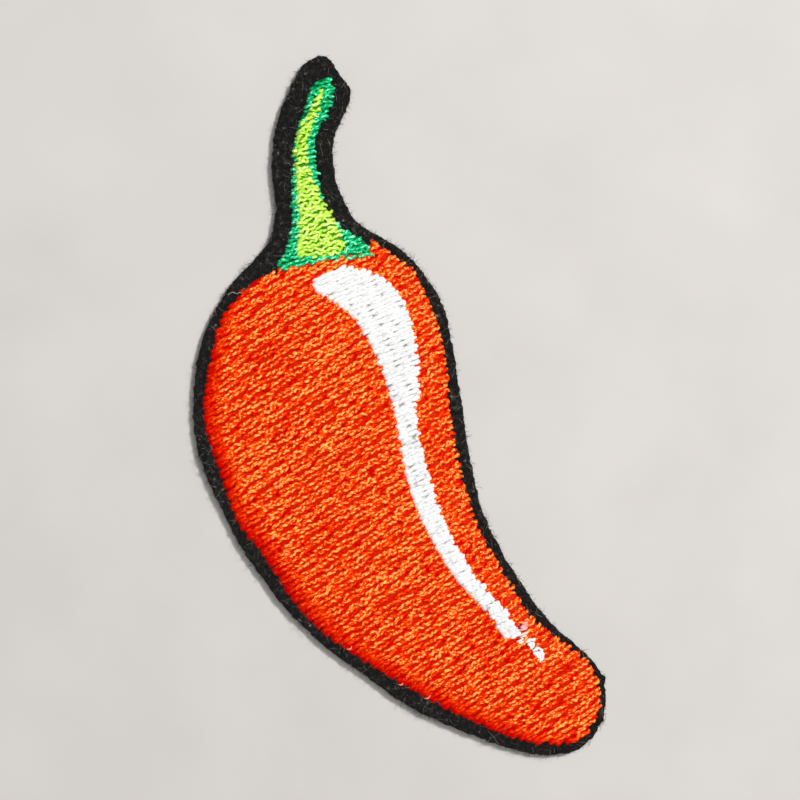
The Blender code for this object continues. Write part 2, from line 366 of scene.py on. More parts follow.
def length_of(loop):
    """How long the loop is."""
    return float(np.linalg.norm(np.roll(loop, -1, 0) - loop, axis=1).sum())


def area_of(loop):
    """The area inside the loop."""
    after = np.roll(loop, -1, 0)
    return abs(float((loop[:, 0] * after[:, 1] - after[:, 0] * loop[:, 1]).sum())) / 2


def distance_to(points, loop):
    """How far each point is from the loop's line."""
    start, span = loop, np.roll(loop, -1, 0) - loop
    best = np.full(len(points), 1e9)
    for a, d in zip(start, span):
        t = np.clip(((points - a) @ d) / max(d @ d, 1e-12), 0, 1)
        gap = points - a - t[:, None] * d
        best = np.minimum(best, np.hypot(gap[:, 0], gap[:, 1]))
    return best


def inside(points, loop):
    """Whether each point is inside the loop."""
    result = np.zeros(len(points), bool)
    for (ax, ay), (bx, by) in zip(loop, np.roll(loop, -1, 0)):
        if ay == by:
            continue
        crosses = (ay > points[:, 1]) != (by > points[:, 1])
        side = ax + (points[:, 1] - ay) / (by - ay) * (bx - ax)
        result ^= crosses & (points[:, 0] < side)
    return result


def shrink(loop, distance):
    """The loop with each point moved inwards."""
    after, before = np.roll(loop, -1, 0), np.roll(loop, 1, 0)
    way = after - before
    way /= np.maximum(np.linalg.norm(way, axis=1), 1e-9)[:, None]
    turning = (loop[:, 0] * after[:, 1] - after[:, 0] * loop[:, 1]).sum()
    inward = np.column_stack([-way[:, 1], way[:, 0]]) * math.copysign(1, turning)
    return loop + inward * distance


def resample(loop, step):
    """The loop with its points evenly this far apart."""
    closed = np.vstack([loop, loop[:1]])
    travelled = np.concatenate([[0], np.cumsum(np.linalg.norm(np.diff(closed, axis=0), axis=1))])
    count = int(travelled[-1] / step)
    at = np.arange(count) * travelled[-1] / count
    return np.column_stack([np.interp(at, travelled, closed[:, k]) for k in (0, 1)])


def grid_over(loop, step):
    """Points in even rows over the loop's box."""
    low, high = loop.min(0), loop.max(0)
    steps = [np.arange(low[k], high[k], step) for k in (0, 1)]
    return np.stack(np.meshgrid(*steps), -1).reshape(-1, 2)


def filled(rim, points):
    """A flat mesh between the rim and the points in it, as points with the rim's first, and
    faces."""
    places = [Vector(point) for point in np.vstack([rim, points])]
    edges = [(k, (k + 1) % len(rim)) for k in range(len(rim))]
    made = delaunay_2d_cdt(places, edges, [], 1, 1e-6)
    return np.array([(place.x, place.y) for place in made[0]]), [list(face) for face in made[2]]


def spans(loop, offset, along, across):
    """The stretches of one row that lie inside the loop, as (start, end) along it."""
    side = loop @ across - offset
    after = np.roll(side, -1)
    place = loop @ along
    crossing = np.nonzero((side > 0) != (after > 0))[0]
    share = side[crossing] / (side[crossing] - after[crossing])
    cuts = np.sort(place[crossing] + share * (np.roll(place, -1)[crossing] - place[crossing]))
    return list(zip(cuts[0::2], cuts[1::2]))


def without(stretches, holes):
    """The stretches less the holes in them."""
    for low, high in holes:
        kept = []
        for start, end in stretches:
            kept += [(start, min(end, low)), (max(start, high), end)]
        stretches = [(start, end) for start, end in kept if end - start > SHORTEST_REST]
    return stretches


# Threads


def thread_run(points, side, radius, tone, depth, plain=0.0):
    """One stretch of thread: its line, the way across it, and its looks along the way. Where
    it is plain, its two plies don't show."""
    count = len(points)
    return {
        "points": np.asarray(points, float),
        "side": np.broadcast_to(np.asarray(side, float), (count, 3)),
        "radius": np.broadcast_to(np.asarray(radius, float), (count,)),
        "tone": np.broadcast_to(np.asarray(tone, float), (count,)),
        "depth": np.broadcast_to(np.asarray(depth, float), (count,)),
        "plain": np.broadcast_to(np.asarray(plain, float), (count,)),
        "twist": RNG.uniform(0, 2 * math.pi),
    }


def sweep(runs, twist_length=TWIST_LENGTH, waist=WAIST, section=SECTION, spread=1.0):
    """The rings of every run as one set of points, faces and looks."""
    pressed = PRESSED if spread > 1 else 1.0
    turn = np.radians(np.array(section, float))
    corners = len(turn)
    places, faces, strands, tones, depths = [], [], [], [], []
    first = 0
    for run in runs:
        line = run["points"]
        count = len(line)
        tangent = np.gradient(line, axis=0)
        tangent /= np.linalg.norm(tangent, axis=1)[:, None]
        up = np.cross(run["side"], tangent)
        up /= np.linalg.norm(up, axis=1)[:, None]
        up *= np.sign(up[:, 2:3]) + (up[:, 2:3] == 0)
        side = np.cross(tangent, up)
        step = np.linalg.norm(np.diff(line, axis=0), axis=1)
        travelled = np.concatenate([[0], np.cumsum(step)])
        way = 1 if run["twist"] > math.pi else -1
        twist = run["twist"] + way * travelled * 2 * math.pi / twist_length
        twist = twist + TWIST_DRIFT * noise(travelled * 0.6, run["twist"] * 40)
        lobe = turn[None, :] + twist[:, None]
        lobes = (1 - waist) * (1 - run["plain"][:, None]) * (1 - np.abs(np.cos(lobe)))
        reach = run["radius"][:, None] * (1 - lobes)
        sideways, upwards = spread * reach * np.sin(turn), pressed * reach * np.cos(turn)
        ring = line[:, None, :] + sideways[..., None] * side[:, None, :]
        ring = ring + upwards[..., None] * up[:, None, :]
        places.append(ring.reshape(-1, 3))
        start = RNG.uniform(0, 400)
        onward = np.broadcast_to(travelled[:, None] + start, reach.shape)
        strands.append(np.stack([onward, sideways, upwards], -1).reshape(-1, 3))
        tones.append(np.repeat(run["tone"], corners))
        depths.append(np.repeat(run["depth"], corners))
        base = first + np.arange(count - 1)[:, None] * corners
        here, there = np.arange(corners)[None, :], (np.arange(corners) + 1)[None, :] % corners
        ahead = base + corners
        quads = np.stack([base + here, ahead + here, ahead + there, base + there], -1)
        faces += quads.reshape(-1, 4).tolist()
        faces.append((first + np.arange(corners)).tolist())
        faces.append((first + (count - 1) * corners + np.arange(corners))[::-1].tolist())
        first += count * corners
    looks = {
        "strand": np.concatenate(strands),
        "tone": np.concatenate(tones),
        "depth": np.concatenate(depths),
    }
    return np.concatenate(places), faces, looks


def new_piece(name, places, faces, material, looks=None):
    """A mesh piece from points in millimetres, with its looks kept as attributes."""
    mesh = bpy.data.meshes.new(name)
    mesh.from_pydata((np.asarray(places) * MM).tolist(), [], faces)
    mesh.update()
    for key, values in (looks or {}).items():
        vector = values.ndim == 2
        kept = mesh.attributes.new(key, "FLOAT_VECTOR" if vector else "FLOAT", "POINT")
        kept.data.foreach_set("vector" if vector else "value", values.astype(np.float32).ravel())
    mesh.polygons.foreach_set("use_smooth", np.full(len(mesh.polygons), True))
    mesh.materials.append(material)
    piece = bpy.data.objects.new(name, mesh)
    bpy.context.scene.collection.objects.link(piece)
    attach(piece, BODY)
    return piece


def needle_holes(row, stitch, span):
    """Where the stitches of one row end, along the row."""
    shift = row * STITCH_SHIFT
    number = np.arange(math.floor(span[0] / stitch - shift) - 1, span[1] / stitch - shift + 2)
    return (number + shift) * stitch + HOLE_STRAY * noise(number * 7.3, row * 3.7)


def dip_at(places, holes, reach=DIP_REACH):
    """How deep in a needle hole each place is, from 0 to 1."""
    gap = np.abs(places[:, None] - holes[None, :]).min(1)
    return np.clip(1 - gap / reach, 0, 1)


def directions(angle):
    """The way along a row at an angle in degrees, and the way across the rows."""
    turn = math.radians(angle)
    along = np.array([math.cos(turn), math.sin(turn)])
    return along, np.array([-along[1], along[0]])


def lay_rows(
    loop, heights, angle, pitch, stitch, ends, holes=(), curl=None, wander=1.0, band=0.0,
    dip_depth=DIP_DEPTH, thick=THREAD_RADIUS, dash=RED_DASH, unbroken=0.0,
):
    """Rows of thread over a loop. heights gives the thread's top at points, and ends moves a
    row's two ends. holes are loops that the rows stop at. curl and wander are how far the
    rows stray. band is how strong the painted shade is where they turn down at their left ends,
    away from the light, and dash is how their needle holes show, as painted shade. A row shorter
    than unbroken has none."""
    along, across = directions(angle)
    offsets = loop @ across
    first = math.ceil(offsets.min() / pitch + ROW_MARGIN)
    last = math.floor(offsets.max() / pitch - ROW_MARGIN)
    side = np.array([across[0], across[1], 0.0])
    runs = []
    for row in range(first, last + 1):
        offset = row * pitch
        stretches = spans(loop, offset, along, across)
        for hole in holes:
            stretches = without(stretches, spans(hole, offset, along, across))
        for number, (start, end) in enumerate(stretches):
            left, right = start * along + offset * across, end * along + offset * across
            start, end = ends(row, start, end, left, right)
            if end - start < SHORTEST_ROW:
                continue
            count = max(6, int((end - start) / RING_STEP) + 1)
            place = np.linspace(start, end, count)

            # How near each place is to a needle hole, here and in the rows beside this one
            own, above, below = (needle_holes(row + k, stitch, (start, end)) for k in (0, 1, -1))
            broken = float(end - start > unbroken)
            dip = broken * dip_at(place, own)
            above, below = dip_at(place, above), dip_at(place, below)
            near = broken * dip_at(place, own, dash.reach)
            near = near * np.clip(1 - dash.uneven * noise(place * 0.6 + 5, row * 4.9), 0, 1)

            # How near it is to the row's ends
            from_end = np.minimum(place - start, end - place)
            turning = bell(place - start, TURN_REACH)
            # Near its left end it is plain, with painted shade where it turns down away from the
            # light
            outer = band if number == 0 else 0.3 * band
            smooth = outer * bell(place - start, BAND_REACH)

            # The line as seen from above
            sway = curl(row, place, start, end) if curl else 0.0
            stray = wander * waves(place, row, STRAYS) + sway * noise(place * CURLS, row * 9.7)
            lateral = offset + stray * (1 - 0.7 * turning) + HOLE_PUSH * (above - below)
            pull = PAIR_PULL * pitch * bell(end - place, PAIR_REACH)
            lateral = lateral + (pull if row % 2 == 0 else -pull)
            flat = place[:, None] * along + lateral[:, None] * across

            # Its height and its thickness
            rise = waves(place, row, RISES) + 0.5 * sway * noise(place * CURL_RISE, row * 4.3)
            # Valleys along the needle holes: a real dip here, and painted shade in its looks below
            valley = 2.2 * near * dash.sharp + 0.7 * noise(place * 0.45, row * 1.7) - 0.3
            valley = np.clip(valley, 0, 1)
            rise = wander * (rise * (1 - smooth) - VALLEY_DEPTH * valley)
            # Where it lies sunk below its neighbours it gets painted shade too
            sunk = np.clip(-rise / 0.2, 0, 1)
            rise = rise + HOLE_LIFT * (above + below) - dip_depth * dip**1.5
            rise = rise - EDGE_DROP * bell(from_end, EDGE_REACH)
            radius = thick * (1 - 0.22 * dip) * (1 - 0.2 * bell(from_end, 0.08))
            radius = radius * (1 + 0.16 * noise(place * 1.1, row * 8.3) * wander + 0.15 * turning)
            line = np.column_stack([flat, heights(flat) + rise - thick * 0.9])

            # Its looks: a tone that differs at random, and painted shade in valleys, sunk stretches
            # and band
            tone = 0.5 + 0.35 * noise(place / stitch * 0.7 + 31, row * 13.7)
            tone = tone + 0.25 * noise(flat[:, 0] * 0.16, flat[:, 1] * 0.16) + 0.5 * smooth
            depth = np.maximum(dash.dark * valley * (1 - smooth), 0.3 * sunk)
            runs.append(thread_run(line, side, radius, tone, np.maximum(depth, smooth), smooth))
    return runs


def underlay(loop, heights, drop, step=0.5):
    """A sheet that follows a field's surface, under its threads, so that no felt shows."""
    rim = shrink(resample(loop, 0.6 * step), 0.15)
    grid = grid_over(rim, step)
    grid = grid[inside(grid, rim) & (distance_to(grid, rim) > 0.5 * step)]
    flat, faces = filled(rim, grid)
    return np.column_stack([flat, heights(flat) - drop]), faces


def sheet_looks(places):
    """The looks of a sheet under threads, which gets the painted shade of their depths all over."""
    count = len(places)
    return {"strand": places * (0.7, 0.7, 0), "tone": np.full(count, 0.3), "depth": np.ones(count)}


def thread_piece(name, runs, material, node, sheet=None, waist=WAIST, spread=SPREAD):
    """Threads, with the sheet under them if there is one, as one piece that replaces a node."""
    places, faces, looks = sweep(runs, waist=waist, spread=spread)
    if sheet:
        low_places, low_faces = sheet
        # The sheet is coloured all over with painted shade
        low_looks = sheet_looks(low_places)
        faces += [[index + len(places) for index in face] for face in low_faces]
        places = np.concatenate([places, low_places])
        looks = {key: np.concatenate([looks[key], low_looks[key]]) for key in looks}
    piece = new_piece(name, places, faces, material, looks)
    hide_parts(node)
    return piece


# Materials


def add(tree, kind, sockets=None, **settings):
    """A shader node with its settings, its socket values and the links into it."""
    made = tree.nodes.new(kind)
    for key, value in settings.items():
        setattr(made, key, value)
    for key, value in (sockets or {}).items():
        if isinstance(value, bpy.types.NodeSocket):
            tree.links.new(value, made.inputs[key])
        else:
            made.inputs[key].default_value = value
    return made


def linear(red, green, blue):
    """A display colour from 0 to 255 as the linear colour that a shader takes."""
    share = [channel / 255 for channel in (red, green, blue)]
    return [c / 12.92 if c <= 0.04045 else ((c + 0.055) / 1.055) ** 2.4 for c in share] + [1.0]


def ramp(tree, factor, stops):
    """A colour ramp through the stops, each a place and a display colour."""
    made = add(tree, "ShaderNodeValToRGB", {"Fac": factor})
    elements = made.color_ramp.elements
    while len(elements) < len(stops):
        elements.new(0.5)
    for element, (place, colour) in zip(elements, stops):
        element.position = place
        element.color = linear(*colour)
    return made.outputs["Color"]


def weigh(tree, terms, start=0.0):
    """The start value plus each socket times its weight."""
    total = start
    for socket, weight in terms:
        sockets = {0: socket, 1: weight, 2: total}
        total = add(tree, "ShaderNodeMath", sockets, operation="MULTIPLY_ADD").outputs[0]
    return total


def times(tree, first, second):
    """The product of two sockets."""
    return add(tree, "ShaderNodeMath", {0: first, 1: second}, operation="MULTIPLY").outputs[0]


def ranged(tree, value, low, high, new_low=0.0, new_high=1.0):
    """The value with the range from low to high stretched to a new one, and held within it."""
    sockets = {"Value": value, "From Min": low, "From Max": high}
    sockets |= {"To Min": new_low, "To Max": new_high}
    return add(tree, "ShaderNodeMapRange", sockets).outputs[0]


def attribute(tree, name, kind="Fac"):
    """One of the looks that a mesh keeps at its points."""
    return add(tree, "ShaderNodeAttribute", attribute_name=name).outputs[kind]


def relief(tree, shader, height, strength, depth):
    """Fine relief on the shader's surface."""
    sockets = {"Height": height, "Strength": strength, "Distance": depth * MM}
    tree.links.new(add(tree, "ShaderNodeBump", sockets).outputs[0], shader.inputs["Normal"])


def noise_node(tree, vector, scale, stretch=(1, 1, 1), detail=2.0):
    """Noise over a vector, stretched first."""
    placed = add(tree, "ShaderNodeMapping", {"Vector": vector, "Scale": stretch})
    made = add(
        tree, "ShaderNodeTexNoise", {"Vector": placed.outputs[0], "Scale": scale, "Detail": detail}
    )
    return made.outputs["Fac"]


def new_material(name):
    """A new material with its node tree and its shader."""
    material = bpy.data.materials.new(name)
    material.use_nodes = True
    tree = material.node_tree
    shader = tree.nodes["Principled BSDF"]
    return material, tree, shader


def thread_material(name, stops, gloss, rough, sheen, glint=None):
    """Glossy polyester thread: filaments along it, a painted highlight on the flecks at its plies'
    crests, and painted shade in its holes. The glint is the colour of a painted glint on the few
    flecks that catch the light most."""
    material, tree, shader = new_material(name)
    strand = attribute(tree, "strand", "Vector")
    tone, depth = attribute(tree, "tone"), attribute(tree, "depth")
    filament = noise_node(tree, strand, 1.0, (1.1, 15, 15), 3.0)
    fleck = noise_node(tree, strand, 1.0, (3.2, 5.4, 2.0), 1.0)
    height = add(tree, "ShaderNodeSeparateXYZ", {"Vector": strand}).outputs["Z"]
    # The plies' crests and the flecks on them, where the painted highlight goes
    crest = ranged(tree, height, 0.05, THREAD_RADIUS * PRESSED * 0.85)
    chance = ranged(tree, fleck, 0.43, 0.57, 0.1, 1.0)
    # Painted shade takes the painted highlight away
    exposed = weigh(tree, [(depth, -1.3)], start=1.0)
    lit = times(tree, times(tree, crest, chance), exposed)
    # The colour, from painted shade through the thread's random tone to painted highlight
    place = weigh(tree, [(tone, 0.16), (filament, 0.3), (depth, -0.42), (lit, 0.78)], start=0.12)
    colour = ramp(tree, place, stops)
    if glint:
        # A painted glint on the flecks that catch the light most
        spark = ranged(tree, noise_node(tree, strand, 1.0, (2.1, 7.0, 3.0), 1.0), 0.6, 0.72)
        sockets = {0: times(tree, spark, lit), 6: colour, 7: linear(*glint)}
        colour = add(tree, "ShaderNodeMix", sockets, data_type="RGBA").outputs[2]
    tree.links.new(colour, shader.inputs["Base Color"])
    shine = ranged(tree, fleck, 0.3, 0.7, rough[1], rough[0])
    tree.links.new(shine, shader.inputs["Roughness"])
    relief(tree, shader, filament, 0.6, 0.03)
    shader.inputs["Specular IOR Level"].default_value = 0.12
    shader.inputs["Specular Tint"].default_value = linear(*gloss)
    shader.inputs["Sheen Weight"].default_value = sheen
    shader.inputs["Sheen Roughness"].default_value = 0.4
    return material


def felt_material():
    """Matte black felt with matted fibres and grey-green specks."""
    material, tree, shader = new_material("felt")
    place = add(tree, "ShaderNodeTexCoord").outputs["Object"]
    matted = noise_node(tree, place, 1800, detail=5.0)
    speck = noise_node(tree, place, 3400, detail=2.0)
    broad = noise_node(tree, place, 300, detail=2.0)
    shade = weigh(tree, [(matted, 1.3), (speck, 1.0), (broad, 0.4)], start=-0.95)
    stops = [(0.2, (5, 5, 5)), (0.48, (20, 18, 17)), (0.68, (46, 44, 40)), (0.9, (124, 122, 110))]
    tree.links.new(ramp(tree, shade, stops), shader.inputs["Base Color"])
    relief(tree, shader, matted, 0.9, 0.12)
    shader.inputs["Roughness"].default_value = 0.95
    shader.inputs["Specular IOR Level"].default_value = 0.2
    shader.inputs["Sheen Weight"].default_value = 0.04
    return material


def plain_material(name, colour, rough):
    """A nearly even colour with a faint cloud in it."""
    material, tree, shader = new_material(name)
    place = add(tree, "ShaderNodeTexCoord").outputs["Object"]
    cloud = noise_node(tree, place, 60, detail=3.0)
    darker = [round(channel * 0.97) for channel in colour]
    tree.links.new(ramp(tree, cloud, [(0.3, darker), (0.7, colour)]), shader.inputs["Base Color"])
    shader.inputs["Roughness"].default_value = rough
    return material


# Pieces


def body_heights(loop, top):
    """The height of the red fill's surface: full in the middle, falling to its edge."""
    rim = FELT_TOP + BODY_RIM

    def heights(points):
        return rim + (top - rim) * swelling(points, loop, BODY_SHOULDER)

    return heights


def build_body(loops):
    """The red fill in three pieces and the sheet under them, with its rows stopped under the
    highlight."""
    body, highlight, stem = loops["body"], loops["highlight"], loops["stem"]
    hidden = shrink(highlight, STRIPE_OVERLAP)
    beside_stem = distance_to(body, stem) < UNDER_STEM_NEAR
    body = np.where(beside_stem[:, None], shrink(body, -UNDER_STEM), body)

    def ends(row, start, end, left, right):
        ragged = noise(np.array([row * 3.3, row * 3.3 + 50]), 0.5)
        return start - 0.28 - 0.07 * ragged[0], end + 0.28 + 0.13 * ragged[1]

    def curl(row, place, start, end):
        return 0.2 if end - start < 5.5 else 0.1

    heights = body_heights(body, BODY_TOP)
    runs = lay_rows(
        body, heights, ROW_ANGLE, ROW_PITCH, STITCH_LENGTH, ends, [hidden], curl, band=BAND
    )
    # Red thread with a pale yellow painted glint
    red = thread_material(
        "red_thread", RED_STOPS, (255, 200, 110), (0.3, 0.45), 0.0, glint=(255, 204, 84)
    )
    count = len(runs)
    for part, name in enumerate(("lower", "middle", "upper")):
        share = runs[part * count // 3 : (part + 1) * count // 3]
        thread_piece(f"red_stitches_{name}", share, red, "body_fill_stitches")
    # A sheet under the red threads, coloured with painted shade
    places, faces = underlay(body, heights, SHEET_DROP, 0.6)
    sheet = new_piece("red_underlay", places, faces, red, sheet_looks(places))
    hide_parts("body_fill_stitches")
    return heights, body


def build_highlight(loops):
    """The white stripe over the red fill, with teeth where groups of rows reach further."""
    loop = loops["highlight"]

    def ends(row, start, end, left, right):
        group, member = divmod(row, len(TEETH))
        big = np.clip((12 - right[1]) / 10, 0.25, 1)
        tooth = TEETH[member] + 0.2 * noise(group * 3.1, 0.2)
        tooth = big * (tooth + 0.16 * noise(row * 3.7, 6.2))
        blunt = 0.75 * bell(np.linalg.norm(left - STRIPE_TIP), 1.6)
        upper = np.clip((left[1] - 3) / 3, 0, 1)
        start = start - 0.1 * noise(row * 2.1, 4.5) - 0.1 - 0.2 * upper - blunt
        cut = 0.35 * bell(np.linalg.norm(right - STRIPE_CORNER), 0.8)
        return start, end + tooth + 0.2 * bell(right[1] - 3, 4) - cut

    def heights(points):
        tip = bell(np.linalg.norm(points - STRIPE_TIP, axis=1), 1.8)
        swell = swelling(points, loop, STRIPE_SHOULDER)
        return BODY_TOP + STRIPE_RIM + 0.1 * swell + 0.07 * tip

    runs = lay_rows(
        loop, heights, HIGHLIGHT_ANGLE, ROW_PITCH, HIGHLIGHT_STITCH, ends, wander=0.4,
        dip_depth=0.16, dash=WHITE_DASH, unbroken=STRIPE_UNBROKEN,
    )
    for run in runs:
        lower = np.clip((6 - run["points"][:, 1]) / 10, 0, 1)
        at = run["points"][:, :2] @ np.array([[3.1, 2.3], [-2.2, 3.4]])
        specks = np.clip(2.2 * noise(at[:, 0], at[:, 1]) - 0.9, 0, 0.42)
        run["depth"] = run["depth"] + lower * specks
    white = thread_material("white_thread", WHITE_STOPS, WHITE, (0.4, 0.55), 0.0)
    thread_piece(
        "highlight_threads", runs, white, "highlight_stitches",
        sheet=underlay(shrink(loop, 0.25), heights, SHEET_DROP), waist=0.7, spread=1.45,
    )
    return white


def rounded(corners, count=14):
    """A smooth line through the corners."""
    corners = np.asarray(corners, float)
    padded = np.vstack([2 * corners[0] - corners[1], corners, 2 * corners[-1] - corners[-2]])
    place = np.linspace(0, len(corners) - 1.0001, count)
    number = place.astype(int)
    share = (place - number)[:, None]
    p0, p1, p2, p3 = (padded[number + k] for k in range(4))
    bend = 2 * p1 + (p2 - p0) * share + (2 * p0 - 5 * p1 + 4 * p2 - p3) * share**2
    return (bend + (3 * p1 - p0 - 3 * p2 + p3) * share**3) / 2


def stroke(corners, top, radius):
    """A short free stitch: a thread that rises from the fill and dives back into it."""
    flat = rounded(corners)
    share = np.linspace(-1, 1, len(flat))
    line = np.column_stack([flat, top - radius - 0.22 * np.abs(share) ** 4])
    way = flat[-1] - flat[0]
    way = way / np.linalg.norm(way)
    return thread_run(line, (-way[1], way[0], 0), radius, 0.9, 0)


def stained_material(name, colours):
    """Thread with three colours, from the painted shade of its depths to the painted highlight on
    its crests.
    """
    return thread_material(name, list(zip((0.0, 0.4, 1.0), colours)), WHITE, (0.4, 0.55), 0.0)


def build_end_stitches(white):
    """The short stitches past the stripe's lower end."""
    for number, strokes in enumerate(END_STROKES, 1):
        node = f"highlight_end_stitch_{number}"
        thick, top = (0.12, BODY_TOP + 0.12) if number == 1 else (0.19, BODY_TOP + 0.2)
        runs = [stroke(corners, top - 0.04 * k, thick) for k, corners in enumerate(strokes)]
        thread_piece(f"end_stitch_{number}", runs, white, node, spread=1.15)
    stained = (
        ("cream", CREAM_STROKES, 0.15, ((190, 160, 140), (230, 206, 186), (242, 230, 216))),
        ("pink", PINK_STROKES, 0.2, ((214, 100, 96), (238, 150, 142), (246, 184, 178))),
        ("mauve", MAUVE_STROKES, 0.14, ((50, 10, 60), (96, 26, 88), (134, 56, 110))),
    )
    for name, strokes, thick, colours in stained:
        material = stained_material(f"{name}_thread", colours)
        runs = [stroke(corners, BODY_TOP + 0.16, thick) for corners in strokes]
        node = "highlight_end_stitch_1"
        thread_piece(f"end_stitch_{name}", runs, material, node, spread=1.0)


def build_loose_ends():
    """The pale thread ends that lie on the felt beside the fill."""
    colours = ((84, 74, 70), (140, 126, 118), (190, 174, 164))
    material = stained_material("loose_thread", colours)
    runs = [stroke(corners, FELT_TOP + 0.2, 0.055) for corners in LOOSE_STROKES]
    places, faces, looks = sweep(runs, spread=1.15)
    new_piece("loose_thread_ends", places, faces, material, looks)


def build_pale_loops(red_heights):
    """The loops that stand up at the fill's lower left edge, paler from their thinner fibres
    and from painted sheen.
    """
    colours = ((226, 70, 40), (246, 120, 92), (255, 176, 150))
    material = stained_material("loop_thread", colours)
    tops = [float(red_heights(np.array(corners[1:2]))[0]) + 0.2 for corners in LOOP_STROKES]
    runs = [stroke(corners, top, 0.09) for corners, top in zip(LOOP_STROKES, tops)]
    places, faces, looks = sweep(runs, spread=1.15)
    new_piece("loop_ends", places, faces, material, looks)


def build_stem(loops, red_heights, red_loop):
    """Emerald thread round the stem's edge, and looser lime thread over its middle."""
    stem, core = loops["stem"], loops["core"]

    def reach_out(row, start, end, left, right):
        loose = 0.22 + 0.2 * np.clip((right[1] - 31) / 4, 0, 1)
        ragged = loose * noise(np.array([row * 2.3, row * 2.3 + 40]), 8.5)
        tongue = np.linalg.norm(right - FOOT_CORNER)
        return start - 0.08 - ragged[0], end + 0.12 + ragged[1] - 0.5 * bell(tongue, 0.8)

    def reach_core(row, start, end, left, right):
        ragged = 0.28 * noise(np.array([row * 2.9, row * 2.9 + 40]), 3.5)
        return start - 0.14 - ragged[0], end + 0.12 + ragged[1]

    def edge_heights(points):
        swell = swelling(points, stem, STEM_SHOULDER)
        own = FELT_TOP + STEM_RIM + (STEM_TOP - FELT_TOP - STEM_RIM) * swell
        return np.where(inside(points, red_loop), np.maximum(own, red_heights(points) + 0.1), own)

    def core_heights(points):
        swell = swelling(points, core, CORE_SHOULDER)
        return STEM_TOP - CORE_RIM + (CORE_TOP - STEM_TOP + CORE_RIM) * swell

    def curl(row, place, start, end):
        return 0.26 + 0.16 * noise(place * 2.4, row * 6.1)

    edge_runs = lay_rows(
        stem, edge_heights, STEM_ANGLE, STEM_PITCH, STEM_EDGE_STITCH, reach_out,
        [shrink(core, 0.35)], curl, dip_depth=0.15, thick=STEM_RADIUS, dash=EMERALD_DASH,
    )
    core_runs = lay_rows(
        core, core_heights, STEM_ANGLE, STEM_PITCH, STEM_CORE_STITCH, reach_core,
        curl=curl, dip_depth=0.15, thick=STEM_RADIUS, dash=LIME_DASH,
    )
    emerald = thread_material("emerald_thread", EMERALD_STOPS, (190, 255, 225), (0.3, 0.5), 0.0)
    lime = thread_material("lime_thread", LIME_STOPS, (240, 255, 190), (0.3, 0.5), 0.0)
    thread_piece(
        "stem_edge_threads", edge_runs, emerald, "stem_edge_stitches",
        sheet=underlay(stem, edge_heights, SHEET_DROP),
    )
    thread_piece(
        "stem_core_threads", core_runs, lime, "stem_core_stitches",
        sheet=underlay(shrink(core, 0.1), core_heights, 0.3, 0.4),
    )


def trimmed(loop):
    """The felt's outline with its trims and nicks."""
    loop = resample(loop, RIM_STEP)
    places = np.array([place for place, trim in RIM_TRIMS])
    trims = np.array([trim for place, trim in RIM_TRIMS])
    near = bell(np.linalg.norm(loop[:, None, :] - places[None, :, :], axis=2), TRIM_REACH)
    shift = (near @ trims) / (near.sum(1) + TRIM_REST)
    for place, trim, width in RIM_NICKS:
        shift = shift + trim * bell(np.linalg.norm(loop - place, axis=1), width)
    return shrink(loop, shift[:, None])


def felt_face(rim, pocket):
    """The felt's matted face, as flat points with the rim's first, and its faces. Under the
    threads it has only a few points."""
    grid = grid_over(rim, FACE_STEP)
    grid = grid + FACE_STRAY * RNG.standard_normal(grid.shape)
    grid = grid[inside(grid, rim) & (distance_to(grid, rim) > 0.14)]
    hidden = inside(grid, pocket) & (distance_to(grid, pocket) > 0.7)
    kept = hidden & (RNG.random(len(grid)) < 0.03)
    return filled(rim, grid[~hidden | kept])


def felt_wall(rim, first):
    """The cut wall under the rim: its rings of points, and its faces down to the back. first
    is the number of the wall's first point."""
    count = len(rim)
    outward = rim - shrink(rim, 1.0)
    rings, faces = [], []
    upper = range(count)
    levels = np.linspace(FELT_TOP - RIM_DROP, FELT_BACK, WALL_RINGS + 1)[1:]
    for number, level in enumerate(levels):
        bulge = 0.05 + 0.09 * noise(np.arange(count) * 0.8, number * 1.3 + 20)
        bulge = bulge * (1 if number < WALL_RINGS - 1 else 0.2)
        rings.append(np.column_stack([rim + outward * bulge[:, None], np.full(count, level)]))
        lower = range(first + number * count, first + (number + 1) * count)
        for k in range(count):
            n = (k + 1) % count
            faces.append([upper[k], lower[k], lower[n], upper[n]])
        upper = lower
    faces.append(list(upper))
    return rings, faces


def build_felt(loops):
    """The cut felt: a ragged wall, and a matted face that the stitches pull down beside them."""
    pocket = loops["pocket"]
    rim = resample(loops["felt"], RIM_STEP)
    number = np.arange(len(rim))
    ragged = 0.09 * noise(number * 0.9, 3.3) + 0.09 * noise(number * 0.31, 7.7)
    rim = rim - (shrink(rim, 1.0) - rim) * ragged[:, None]
    flat, faces = felt_face(rim, pocket)
    from_thread = np.where(inside(flat, pocket), 0, distance_to(flat, pocket))
    top = FELT_TOP + 0.07 * noise(flat[:, 0] * 2.2, flat[:, 1] * 2.2)
    top = top + 0.05 * noise(flat[:, 0] * 5.1 + 9, flat[:, 1] * 5.1)
    top = top - 0.16 * bell(from_thread, 0.5) - RIM_DROP * bell(distance_to(flat, rim), 0.22)
    places = np.column_stack([flat, top])
    rings, wall_faces = felt_wall(rim, len(places))
    felt = new_piece(
        "felt_ground", np.vstack([places, *rings]), faces + wall_faces, felt_material()
    )
    work = bmesh.new()
    work.from_mesh(felt.data)
    bmesh.ops.recalc_face_normals(work, faces=work.faces)
    work.to_mesh(felt.data)
    work.free()
    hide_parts("felt_base")
    return felt


